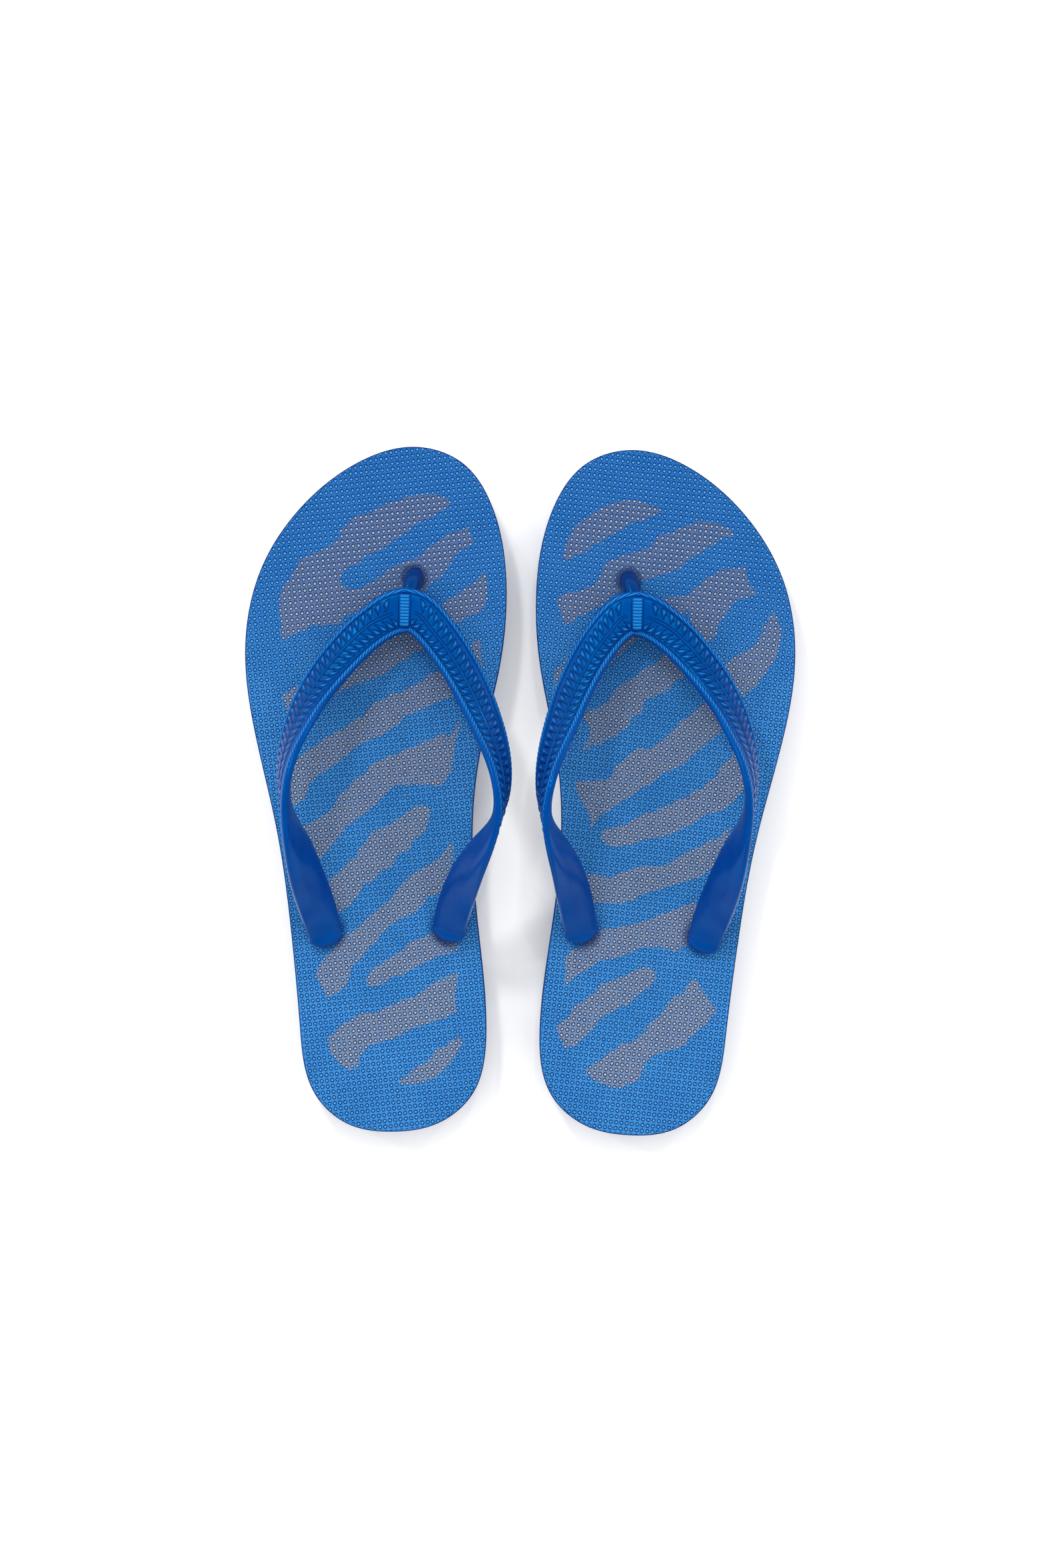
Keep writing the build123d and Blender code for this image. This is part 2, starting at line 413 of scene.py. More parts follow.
def wall_faces(rings):
    """Quads between each ring of vertex numbers and the one below it."""
    faces = []
    for above, below in zip(rings, rings[1:]):
        for i in range(len(above)):
            j = (i + 1) % len(above)
            faces.append((above[j], above[i], below[i], below[j]))
    return faces


def solid_sheet(points, faces, top, bottom):
    """A closed sheet: the same flat grid above and below, with chamfered walls."""
    count = len(points)
    upper = np.column_stack([points, top])
    lower = np.column_stack([points, bottom])
    blocks, total = [upper, lower], 2 * count
    all_faces = faces + [tuple(i + count for i in reversed(face)) for face in faces]
    for loop in wall_loops(faces):
        inward = outward_ways(points[loop]) * EDGE_ROUND
        upper[loop, :2] -= inward
        lower[loop, :2] -= inward
        high = np.column_stack([points[loop], top[loop] - EDGE_ROUND])
        low = np.column_stack([points[loop], bottom[loop] + EDGE_ROUND])
        rings = [loop]
        for wall in (high, (high + low) / 2, low):
            blocks.append(wall)
            rings.append(range(total, total + len(loop)))
            total += len(loop)
        rings.append([i + count for i in loop])
        all_faces += wall_faces(rings)
    return np.vstack(blocks), all_faces


# ---- the footbed ----
EDGE_POINTS = 1440
NEAR_MARGIN = 8.0
RIM_STEP = 0.04
HOLE_RIM_LIMIT = 400
BASE_ROUND = (0.15, 0.2)
FILL_X = (-56.0, 46.0)
FILL_Y = (4.0, 268.0)
FILL_SPACING = 7.0
FILL_CLEAR = 2.0

STUD_PITCH = 2.09
ROW_PITCH_REAR = 2.285
ROW_PITCH_FRONT = 2.185
RING_HALF = (0.88, 0.95)
RING_DEPTH = 0.17
STUD_FOOT = 0.72
STUD_TOP = 0.58
STUD_HEIGHT = 0.07
FIELD_X = (-104.0, 84.0)
FIELD_Y = (-24.0, 292.0)

# Round each of the strap's three roots the sheet is drawn down into a dimple,
# with a steeper lip at the hole itself.
DIMPLE_DEPTH = 0.6
DIMPLE_REACH = 8.0
LIP_DEPTH = 0.7
LIP_REACH = 2.6
FOOTBED_HOLES = [
    ((8.6, 218.6), (3.6, 3.75)),
    (OUTER_ANCHOR, (3.9, 3.9)),
    (INNER_ANCHOR, (3.9, 3.9)),
]
DRAWN_FLATTENING = 0.85
DRAWN_FADING = 0.6
# Strength of the painted shade round the strap's roots, where the strap's ends shadow the sheet.
ROOT_SHADE = 0.95

# Over this stretch of the sole, towards the toe, the hollows get painted shade, which in the
# print also stands for ink missing there.
SHADED_FROM = 150.0
SHADED_TO = 236.0


def cell_faces():
    """One stud's faces: 0 to 3 are its cell's corners, 4 to 11 the ring round
    it, 12 to 15 its foot and 16 to 19 its top."""
    sides = [(k, (k + 1) % 4, 4 + 2 * k, 4 + (2 * k - 1) % 8) for k in range(4)]
    return (
        [(k, n, ring, last) for k, n, ring, last in sides]
        + [(n, ring + 1, ring) for k, n, ring, last in sides]
        + [(last, ring, 12 + k) for k, n, ring, last in sides]
        + [(ring, ring + 1, 12 + n, 12 + k) for k, n, ring, last in sides]
        + [(12 + k, 12 + n, 16 + n, 16 + k) for k, n, ring, last in sides]
        + [(16, 17, 18, 19)]
    )


def stud_lattice(tilt):
    """Flat points, relief, weights of the painted shade in the hollows, and faces of a field of
    studs in rings.
    """
    rows = [FIELD_Y[0]]
    while rows[-1] < FIELD_Y[1]:
        front = ramp(140.0, 235.0, rows[-1])
        rows.append(rows[-1] + ROW_PITCH_REAR + (ROW_PITCH_FRONT - ROW_PITCH_REAR) * front)
    rows = np.array(rows)
    columns = np.arange(*FIELD_X, STUD_PITCH)
    corner_x, corner_y = np.meshgrid(columns, rows)
    cell_x = (corner_x[:-1, :-1] + corner_x[:-1, 1:]) / 2
    cell_y = (corner_y[:-1, :-1] + corner_y[1:, :-1]) / 2
    draw = np.random.RandomState(21)
    cell_x = cell_x + draw.normal(0, 0.025, cell_x.shape)
    cell_y = cell_y + draw.normal(0, 0.025, cell_y.shape)
    size = 1 + draw.normal(0, 0.03, cell_x.shape)
    lift = draw.normal(0, 0.012, cell_x.shape)
    ring = np.radians(22.5 + 45 * np.arange(8))
    diamond = np.radians(90 * np.arange(4))
    offsets = np.concatenate([
        np.stack([RING_HALF[0] * np.cos(ring), RING_HALF[1] * np.sin(ring)], 1),
        STUD_FOOT * np.stack([np.cos(diamond), np.sin(diamond)], 1),
        STUD_TOP * np.stack([np.cos(diamond), np.sin(diamond)], 1),
    ])
    relief = np.array([0.0] * 8 + [-RING_DEPTH] * 4 + [STUD_HEIGHT] * 4)
    # How much painted shade each point takes: most on the toe side of each ring and at the cell
    # corners, none on the stud tops.
    dip = np.array([0.4, 0.9, 0.9, 0.4, 0.1, 0.0, 0.0, 0.1, 0.3, 1.0, 0.3, 0.0] + [0.0] * 4)
    own_x = cell_x.ravel()[:, None] + offsets[None, :, 0] * size.ravel()[:, None]
    own_y = cell_y.ravel()[:, None] + offsets[None, :, 1] * size.ravel()[:, None]
    own_z = np.repeat(relief[None], own_x.shape[0], 0)
    own_z[:, 12:] += lift.ravel()[:, None]
    flat = np.concatenate([
        np.stack([corner_x.ravel(), corner_y.ravel()], 1),
        np.stack([own_x.ravel(), own_y.ravel()], 1),
    ])
    height = np.concatenate([np.zeros(corner_x.size), own_z.ravel()])
    valley = np.concatenate([np.ones(corner_x.size), np.tile(dip, cell_x.size)])
    flat = flat @ np.array([[cos(tilt), sin(tilt)], [-sin(tilt), cos(tilt)]])
    pattern = cell_faces()
    across = len(columns)
    faces = []
    for row in range(len(rows) - 1):
        for column in range(across - 1):
            a = row * across + column
            own = corner_x.size + 16 * (row * (across - 1) + column)
            numbers = [a + 1, a + across + 1, a + across, a, *range(own, own + 16)]
            faces += [tuple(numbers[i] for i in face) for face in pattern]
    return flat, height, valley, faces


# The print: wavy strokes this far apart, which fork at these places (x, y, way).
PRINT_HEADING = radians(36.0)
PRINT_PERIOD = 24.0
PRINT_FORKS = {
    "left": [(-18.0, 214.0, 1), (14.0, 128.0, -1), (-10.0, 58.0, 1)],
    "right": [(16.0, 206.0, -1), (-14.0, 120.0, 1), (6.0, 66.0, -1)],
}
PRINT_WAVES = [(4.0, 120.0), (1.3, 24.0), (0.4, 9.0)]


def print_strength(name, points, edge_gap):
    """Where the footbed is printed: above nought inside the wavy strokes."""
    seed = SHOES[name]["print_seed"]
    plan = points * (SHOES[name]["side"], 1)
    across = -plan[:, 0] * sin(PRINT_HEADING) + plan[:, 1] * cos(PRINT_HEADING)
    for number, (size, scale) in enumerate(PRINT_WAVES):
        across = across + size * ripple_noise(plan, scale, seed + number)
    phase = 2 * pi * across / PRINT_PERIOD
    for x, y, way in PRINT_FORKS[name]:
        phase = phase + way * np.arctan2(plan[:, 1] - y, plan[:, 0] - x)
    stroke = np.sin(phase) + 0.05 + 0.05 * ripple_noise(plan, 5.0, seed + 3)
    margin = 9.0 + 3.2 * ripple_noise(plan, 46.0, seed + 4)
    margin = margin + 13.0 * ramp(225.0, 262.0, plan[:, 1])
    margin = margin + 12.0 * ramp(42.0, 8.0, plan[:, 1])
    return np.minimum(stroke, (edge_gap - margin) / 5.0)


def root_fields(points):
    """Near the strap's roots: how far the sheet is drawn down, how far its lip is, and how much
    painted shade lies round the roots, each from 0 to 1."""
    drawn, lip, dark = np.zeros((3, len(points)))
    for centre, half in FOOTBED_HOLES:
        rim = norm(points - np.array(centre), axis=1) - np.mean(half)
        drawn = np.maximum(drawn, 1 - ramp(0.0, DIMPLE_REACH, rim))
        lip = np.maximum(lip, 1 - ramp(0.0, LIP_REACH, rim))
        spread = 0.5 if centre[1] > FLEX_LINE else 1.0
        dark = np.maximum(dark, 1 - ramp(1.6 * spread, 5.0 * spread, rim))
    return drawn, lip, dark


def footbed_walls(flat, height, faces, low, edge):
    """The sheet's points and faces with its walls; the outer rim keeps to edge.

    Returns its points, its faces, and the rims round its underside."""
    top = np.column_stack([flat, height])
    blocks, total = [top], len(flat)
    all_faces, bottom_loops = list(faces), []
    for loop in wall_loops(faces):
        line = flat[loop]
        outer = len(loop) > HOLE_RIM_LIMIT
        if outer:
            line = even_rim(edge, line)
            top[loop, :2] = line
        ways = outward_ways(line) * outer
        rise, base = height[loop], np.full(len(loop), low)
        rings = [loop]
        for out, level in (
            (0.7 * EDGE_ROUND, rise - 0.3 * EDGE_ROUND),
            (EDGE_ROUND, rise - EDGE_ROUND),
            (EDGE_ROUND, base + BASE_ROUND[1]),
            (EDGE_ROUND - BASE_ROUND[0], base),
        ):
            blocks.append(np.column_stack([line + ways * out, level]))
            rings.append(range(total, total + len(loop)))
            total += len(loop)
        bottom_loops.append(rings[-1])
        all_faces += wall_faces(rings)
    return np.vstack(blocks), all_faces, bottom_loops


def build_footbed(name):
    """The studded top sheet, one continuous piece from heel to toe."""
    low, high = sheet_heights(name, "footbed")
    edge = closed_curve(SOLE_EDGE, EDGE_POINTS)
    inner_edge = edge - outward_ways(edge) * EDGE_ROUND
    flat, relief, valley, faces = stud_lattice(radians(SHOES[name]["row_tilt"]))
    near = (edge.min(0) - NEAR_MARGIN < flat) & (flat < edge.max(0) + NEAR_MARGIN)
    near = near.all(1)
    faces = [face for face in faces if near[face[0]] and near[face[-1]]]
    flat, faces, source, stray = clip_sheet(flat, faces, inner_edge, FOOTBED_HOLES)
    relief = relief[source]
    relief[stray] = 0.0

    drawn, lip, dark = root_fields(flat)
    height = high + relief * (1 - DRAWN_FLATTENING * drawn)
    height = height - DIMPLE_DEPTH * drawn**2 - LIP_DEPTH * lip**2
    depth = relief * (1 - DRAWN_FADING * drawn)
    # Painted shade: in the hollows towards the toe, and round the strap's roots.
    shade = valley[source] * ramp(SHADED_FROM, SHADED_TO, flat[:, 1])
    shade = np.maximum(shade, ROOT_SHADE * dark)
    ink = print_strength(name, flat, nearest_on_loop(edge[::6], flat)[0])

    points, all_faces, rims = footbed_walls(flat, height, faces, low, inner_edge)
    extra, base_faces = fill_flat(points, rims, low, edge[::6], FOOTBED_HOLES)
    points = np.vstack([points, extra])
    # The walls and underside take the darkest groove colour and full painted shade: a painted
    # dark outline round the sole's edge.
    rest = len(points) - len(flat)
    piece = build_mesh(
        name, "footbed", points, all_faces + base_faces,
        relief=np.append(depth, np.full(rest, -RING_DEPTH)),
        ink=np.append(ink, np.full(rest, -1.0)),
        shade=np.append(shade, np.ones(rest)),
    )
    # The studs' own small faces are crisp, and the rest is smooth.
    smooth = np.arange(len(piece.data.polygons)) >= len(faces)
    piece.data.polygons.foreach_set("use_smooth", smooth)
    return piece


def even_rim(edge, line):
    """Put a rim's points on an edge in order, none behind the one before."""
    loop = np.vstack([edge, edge[:1]])
    run = distances_along(loop)
    length = run[-1]
    _, best, share = nearest_on_loop(edge, line)
    place = run[best] + share * (run[best + 1] - run[best])
    step = (np.diff(place) + length / 2) % length - length / 2
    place = place[0] + np.concatenate([[0], np.cumsum(step)])
    order = 1 if place[-1] >= place[0] else -1
    place = place[::order]
    ahead, behind = place.copy(), place.copy()
    for i in range(1, len(place)):
        ahead[i] = max(ahead[i], ahead[i - 1] + RIM_STEP)
    for i in range(len(place) - 2, -1, -1):
        behind[i] = min(behind[i], behind[i + 1] - RIM_STEP)
    place = (ahead + behind) / 2
    place = np.minimum(place, place[0] + length - RIM_STEP) % length
    return np.stack([np.interp(place, run, loop[:, k]) for k in (0, 1)], 1)[::order]


def fill_flat(points, loops, level, outline, holes):
    """Fill the flat underside between rim loops, with points spread inside."""
    numbers, edges = [], []
    for loop in loops:
        first, size = len(numbers), len(loop)
        numbers += loop
        edges += [(first + i, first + (i + 1) % size) for i in range(size)]
    grid = np.array([
        (x, y)
        for y in np.arange(*FILL_Y, FILL_SPACING)
        for x in np.arange(*FILL_X, FILL_SPACING)
    ])
    clear = is_inside(grid, outline, holes)
    clear &= nearest_on_loop(outline, grid)[0] > FILL_CLEAR
    for centre, half in holes:
        gap = norm(grid - np.array(centre), axis=1) - max(half)
        clear &= gap > FILL_CLEAR
    grid = grid[clear]
    flat = [Vector(points[i, :2]) for i in numbers] + [Vector(spot) for spot in grid]
    made, _, triangles, origins, _, _ = delaunay_2d_cdt(flat, edges, [], 0, 1e-6)
    numbers += range(len(points), len(points) + len(grid))
    order = [numbers[min(olds)] if olds else None for olds in origins]
    centres = np.array([
        np.mean([made[i][:] for i in triangle], axis=0) for triangle in triangles
    ])
    faces = []
    for triangle, kept in zip(triangles, is_inside(centres, outline, holes)):
        turned = tuple(order[i] for i in reversed(triangle))
        if kept and None not in turned and len(set(turned)) == 3:
            faces.append(turned)
    return np.column_stack([grid, np.full(len(grid), level)]), faces


# ---- the midsole and outsole ----
MIDSOLE_GRID = (150, 20)
OUTSOLE_GRID = (560, 64)
STEM_HOLE = 4.0
TREAD_PITCH = 9.0
TREAD_GROOVE = 2.4
TREAD_DEPTH = 1.2
TREAD_SLOPE = 0.35
TREAD_WAVE = 1.5
TREAD_WAVE_LENGTH = 13.0
TREAD_RIM = (0.078, 0.102)
TREAD_ENDS = (10.0, 259.0)
HEAD_RECESS = 10.7
HEAD_LAND = (13.2, 14.2)


def tread_pattern(points, share):
    """The wavy cross grooves of the underside: 1 in a groove, 0 beside it."""
    wave = TREAD_WAVE * np.sin(2 * pi * points[:, 0] / TREAD_WAVE_LENGTH)
    from_groove = (points[:, 1] + wave + TREAD_PITCH / 2) % TREAD_PITCH - TREAD_PITCH / 2
    cut = ramp(-TREAD_SLOPE, TREAD_SLOPE, TREAD_GROOVE / 2 - np.abs(from_groove))
    cut = cut * ramp(*TREAD_RIM, np.minimum(share, 1 - share))
    for from_end in (points[:, 1] - TREAD_ENDS[0], TREAD_ENDS[1] - points[:, 1]):
        cut = cut * ramp(-1, 1, from_end)
    for anchor in ANCHORS:
        gap = norm(points - np.array(anchor), axis=1)
        cut = cut * ramp(*HEAD_LAND, gap)
    return cut


def build_sheet(name, layer, grid, hole, depth):
    """A plain sheet with round holes for the strap, and a tread of some depth."""
    low, high = sheet_heights(name, layer)
    holes = [(anchor, (hole, hole)) for anchor in ANCHORS]
    flat, faces, share = sole_rows(*grid, holes)
    bottom = low + depth * tread_pattern(flat, share)
    points, faces = solid_sheet(flat, faces, np.full(len(flat), high), bottom)
    return build_mesh(name, layer, points, faces)


def build_midsole(name):
    """The thick middle sheet."""
    return build_sheet(name, "midsole", MIDSOLE_GRID, STEM_HOLE, 0.0)


def build_outsole(name):
    """The bottom wearing sheet, with its tread and the plug heads' recesses."""
    return build_sheet(name, "outsole", OUTSOLE_GRID, HEAD_RECESS, TREAD_DEPTH)


# ---- the strap ----
FOOTBED_TOP = 16.0
# The stems and plug heads take part of the grooves' painted shade, as the toe post lies in the
# yoke's shadow.
STEM_SHADE = -0.08
STEM_SIDES = 64
STEM_RINGS = 44
FACE_COLUMNS = 88
EDGE_STEPS = 5
INNER_COLUMNS = 12
EDGE_REACH = 0.55
CROWN = 0.22
EDGE_THINNING = 0.5
PADDLE_TIP = 4.0

# How the strap is decorated: ropes along both edges, a midrib, rows of petals
# that lean towards the yoke, and a ribbed block across the yoke.
ROPE_INSET = 1.15
ROPE_HALF = 0.95
ROPE_SLANT = radians(27.0)
ROPE_STRAND = 0.88
PETAL_PITCH = 3.25
PETAL_START = 7.3
PETAL_RADIUS = 1.12
BLOCK_HALF = (2.35, 6.7)
BLOCK_ROUND = 0.8
BLOCK_TURN = radians(-3.0)
RIB_PITCH = 1.24


def rounded_bars(phase):
    """Rounded bars side by side, with a sharp groove between each two."""
    part = phase - np.floor(phase)
    return np.sqrt(np.clip(1 - (2 * part - 1) ** 2, 0, 1))


def bell(value, width):
    """A smooth bump: 1 at nought, and fading to nothing past its width."""
    return np.exp(-((value / width) ** 2))


def rope_relief(q, across, off_rope):
    """The twisted rope, with a shadow line along both its sides."""
    strand = (q * sin(ROPE_SLANT) + across * cos(ROPE_SLANT)) / ROPE_STRAND
    rope = np.sqrt(np.clip(1 - off_rope**2, 0, 1))
    rope = rope * (0.66 * rounded_bars(strand) - 0.12)
    return rope - 0.16 * bell(np.abs(off_rope) - 1.15, 0.2)


def petal_relief(q, beside, stretch, reach_limit):
    """The rows of petals, each a drop that leans towards the yoke and widens
    outwards, in a groove with a low lip."""
    far = ramp(8.0, 34.0, q)
    lean = 0.5 + 0.2 * far
    near_end = 1.35 - 0.65 * far
    reach = np.minimum(5.75 - 0.5 * far, reach_limit)
    slope = 1 / np.sqrt(1 + lean**2)
    sheared = q + (beside - near_end) * lean
    number = np.maximum(np.round((sheared - PETAL_START) / PETAL_PITCH), 0)
    off_axis = (sheared - PETAL_START - number * PETAL_PITCH) * stretch
    x = (beside - near_end) / slope + off_axis * lean * slope
    y = off_axis * slope
    start = 0.2
    end = np.maximum((reach - near_end) / slope - PETAL_RADIUS, 0.6)
    t = np.clip((x - start) / (end - start), 0, 1)
    radius = 0.14 + (PETAL_RADIUS - 0.14) * t**0.75
    bow = 0.22 * (1 - (2 * t - 1) ** 2)
    gap = np.hypot(x - (start + (end - start) * t), y + bow) - radius
    petal = 0.44 * ramp(0.2, 0.75, -gap) - 0.32 * bell(gap, 0.15)
    petal += 0.1 * bell(gap - 0.3, 0.16)
    return petal * ramp(PETAL_START - 1.75, PETAL_START - 1.45, sheared)


def midrib_relief(q, side):
    """The rib along an arm's middle, with a groove on both sides."""
    taper = ramp(4.2, 9.0, q)
    rib = 0.26 * bell(side, 0.14 + 0.16 * taper)
    rib -= 0.24 * bell(np.abs(side) - 0.3 - 0.26 * taper, 0.15)
    return rib * ramp(4.0, 4.8, q)


def block_relief(block_x, block_y):
    """The ribbed block across the yoke, and how far each point is from it."""
    box_x = np.abs(block_x) - BLOCK_HALF[0] + BLOCK_ROUND
    box_y = np.abs(block_y) - BLOCK_HALF[1] + BLOCK_ROUND
    gap = (
        np.hypot(np.maximum(box_x, 0), np.maximum(box_y, 0))
        + np.minimum(np.maximum(box_x, box_y), 0)
        - BLOCK_ROUND
    )
    bars = rounded_bars(block_y / RIB_PITCH) * ramp(0.1, 0.7, -gap)
    bars = bars * (np.abs(block_y) < BLOCK_HALF[1] - 0.4)
    block = 0.14 * ramp(0.0, 0.45, -gap) + 0.36 * bars
    return block - 0.2 * bell(gap - 0.1, 0.2), gap


def strap_relief(along, across, stretch, half_width, arm, block_x, block_y):
    """Height of the decoration over the band's plain outer face.

    along runs from the yoke, across from the band's middle to its front edge,
    and stretch is how much longer the band is here than along its middle."""
    q = np.abs(along)
    middle = -0.4 - np.sign(along) * ramp(5.0, 15.0, q)
    side = across - middle
    rope_centre = half_width - ROPE_INSET
    off_rope = (np.abs(across) - rope_centre) / ROPE_HALF
    reach_limit = rope_centre - ROPE_HALF - 0.3 - np.sign(side) * middle

    rope_fade = 1 - ramp(arm - 22.0, arm - 12.0, q)
    petal_fade = 1 - ramp(arm - 40.0, arm - 28.0, q)
    rope = rope_fade * rope_relief(q, across, off_rope)
    petals = petal_fade * petal_relief(q, np.abs(side), stretch, reach_limit)
    rib = rope_fade * midrib_relief(q, side)
    block, block_gap = block_relief(block_x, block_y)
    between = ramp(1.05, 1.4, np.abs(off_rope)) * (np.abs(across) < rope_centre)
    clear_of_block = ramp(0.3, 0.8, block_gap)
    return clear_of_block * (rope + between * (petals + rib)) + block


def strap_path(name):
    """Stations of the band, and the distance along it of each and of the yoke."""
    stations = np.array(BAND_STATIONS)
    tuck = SHOES[name]["arm_tuck"]
    reach = (stations[:, 1] - ARM_TUCK_MIDDLE) / ARM_TUCK_REACH
    pull = tuck * np.clip(1 - reach**2, 0, 1) ** 2
    stations[:, 0] -= np.where(stations[:, 0] > 0, pull, 0.0)
    knots = distances_along(stations[:, :3])
    yoke = [station[:2] for station in BAND_STATIONS].index(YOKE)
    return stations, knots, knots[yoke]


def band_frames(stations, knots, where):
    """Centre, directions, width and thickness of the band at some distances."""
    inside = np.clip(where, knots[0], knots[-1])
    row = open_curve(stations, knots, inside)
    ahead = curve_ways(stations, knots, inside, 0.2)
    to_end = np.minimum(inside - knots[0], knots[-1] - inside)
    ahead[:, 2] *= 1 - 0.65 * ramp(7.0, 0.0, to_end)
    ahead /= norm(ahead, axis=1)[:, None]
    outward = np.stack([-ahead[:, 1], ahead[:, 0], np.zeros(len(ahead))], 1)
    outward /= norm(outward, axis=1)[:, None]
    upward = np.cross(ahead, outward)
    roll = np.radians(row[:, 3])[:, None]
    width_way = outward * np.cos(roll) - upward * np.sin(roll)
    face_way = outward * np.sin(roll) + upward * np.cos(roll)
    centre = row[:, :3] + np.array([0.0, 0.0, FOOTBED_TOP])
    centre = centre + ahead * (where - inside)[:, None]
    beyond = np.clip(np.abs(where - inside) / PADDLE_TIP, 0, 1)
    width = row[:, 4] * (1 - 0.97 * beyond**1.9) ** (1 / 1.9)
    thick = row[:, 5] * (1 - 0.97 * beyond**2.4) ** (1 / 2.0)
    return centre, ahead, width_way, face_way, width, thick


def band_steps(length, yoke):
    """Distances from the yoke of every ring, closest where the detail is."""
    arms = []
    for arm in (yoke, length - yoke):
        tip = PADDLE_TIP * np.sin(np.linspace(0, pi / 2, 9)[1:])
        arms.append(np.concatenate([
            np.arange(0, 50, 0.29),
            np.arange(50, 106, 0.42),
            np.arange(106, arm - 17, 0.7),
            np.linspace(arm - 17, arm, 15),
            arm + tip,
        ]))
    return np.concatenate([-arms[0][:0:-1], arms[1]])


def tube_faces(ring_count, size):
    """The wall between rings of points in order, and a cap at both ends."""
    faces = []
    for ring in range(ring_count - 1):
        a, b = ring * size, (ring + 1) * size
        for i in range(size):
            j = (i + 1) % size
            faces.append((a + i, b + i, b + j, a + j))
    last = (ring_count - 1) * size
    return faces + [tuple(range(size)), tuple(last + i for i in reversed(range(size)))]


def build_band(name):
    """The band: its rings from the outer paddle over the yoke to the inner one."""
    stations, knots, yoke = strap_path(name)
    along = band_steps(knots[-1], yoke)
    arm = np.where(along < 0, yoke, knots[-1] - yoke)[:, None]
    frames = band_frames(stations, knots, along + yoke)
    centre, ahead, width_way, face_way, width, thick = frames
    rings = len(along)
    half_w, half_t = width[:, None] / 2, thick[:, None] / 2
    reach = np.minimum(EDGE_REACH, half_w * 0.9)

    u = np.linspace(-1, 1, FACE_COLUMNS)[None]
    across = u * (half_w - reach)
    spots = centre[:, None] + across[..., None] * width_way[:, None]
    travel = norm(np.diff(spots, axis=0), axis=2) / np.diff(along)[:, None]
    stretch = np.vstack([travel, travel[-1:]])
    middle = int(np.argmin(np.abs(along)))
    from_yoke = spots - centre[middle]
    flat_x = from_yoke @ ahead[middle]
    flat_y = from_yoke @ width_way[middle]
    block_x = flat_x * cos(BLOCK_TURN) + flat_y * sin(BLOCK_TURN)
    block_y = -flat_x * sin(BLOCK_TURN) + flat_y * cos(BLOCK_TURN)
    block_x = block_x + 50 * (np.abs(along)[:, None] > 25)  # only at the yoke
    lift = strap_relief(along[:, None], across, stretch, half_w, arm, block_x, block_y)
    tip_fade = 1 - ramp(-4.0, 0.0, np.abs(along)[:, None] - arm)
    lift = lift * tip_fade

    thin = 1 - EDGE_THINNING * np.abs(u) ** 3
    face = np.stack([across, half_t * thin + CROWN * tip_fade * (1 - u**2) + lift], 2)
    turn = np.radians(np.linspace(90, -90, EDGE_STEPS + 2)[1:-1])[None]
    side_x = half_w - reach + reach * np.cos(turn)
    side_y = half_t * (1 - EDGE_THINNING) * np.sin(turn)
    front = np.stack([side_x, side_y], 2)
    back = np.stack([-side_x, side_y], 2)[:, ::-1]
    v = np.linspace(1, -1, INNER_COLUMNS)[None]
    inner_drop = half_t * (1 - EDGE_THINNING * np.abs(v) ** 3) + 0.14 * tip_fade * (1 - v**2)
    inner = np.stack([v * (half_w - reach), -inner_drop], 2)
    shape = np.concatenate([face, front, inner, back], 1)
    points = (
        centre[:, None]
        + shape[..., :1] * width_way[:, None]
        + shape[..., 1:] * face_way[:, None]
    )
    size = shape.shape[1]
    relief = np.zeros((rings, size))
    relief[:, :FACE_COLUMNS] = lift
    return points.reshape(-1, 3), tube_faces(rings, size), relief.ravel()


# The plug head under the sole, and the start of its stem: radius and height.
HEAD_PROFILE = [
    (0.02, 1.0), (1.2, 1.0), (2.4, 1.05), (2.9, 1.16), (3.2, 1.3), (6.6, 1.3),
    (7.1, 1.12), (7.4, 1.0), (8.6, 1.02), (9.5, 1.15), (10.0, 1.45), (10.2, 1.9),
    (10.2, 2.6), (10.15, 3.1), (9.9, 3.45), (9.3, 3.6), (4.6, 3.62), (3.9, 3.9),
    (3.6, 4.4), (3.6, 6.0),
]

# Each stem's line and radius above its head: x, y, height over the footbed.
STEMS = {
    "toe": (TOE_ANCHOR, [
        (8.7, 219.3, -8.0, 3.6), (8.7, 219.2, -4.0, 3.6), (8.6, 218.8, -1.0, 3.5),
        (8.3, 217.7, 1.6, 3.4), (7.7, 215.9, 4.2, 3.3), (7.0, 213.4, 6.0, 3.1),
        (6.3, 210.6, 7.0, 3.0), (5.8, 208.4, 7.2, 2.8), (5.5, 206.8, 7.0, 2.4),
    ]),
    "outer": (OUTER_ANCHOR, [
        (-25.6, 79.0, -8.0, 3.6), (-25.6, 79.0, -3.0, 3.6), (-25.7, 79.0, 0.0, 3.5),
        (-26.0, 79.2, 2.6, 3.3), (-26.3, 79.6, 4.4, 2.6),
    ]),
    "inner": (INNER_ANCHOR, [
        (21.6, 80.0, -8.0, 3.6), (21.6, 80.0, -3.0, 3.6), (21.7, 80.2, 0.0, 3.5),
        (22.0, 80.6, 2.6, 3.3), (22.2, 81.0, 4.8, 2.6),
    ]),
}


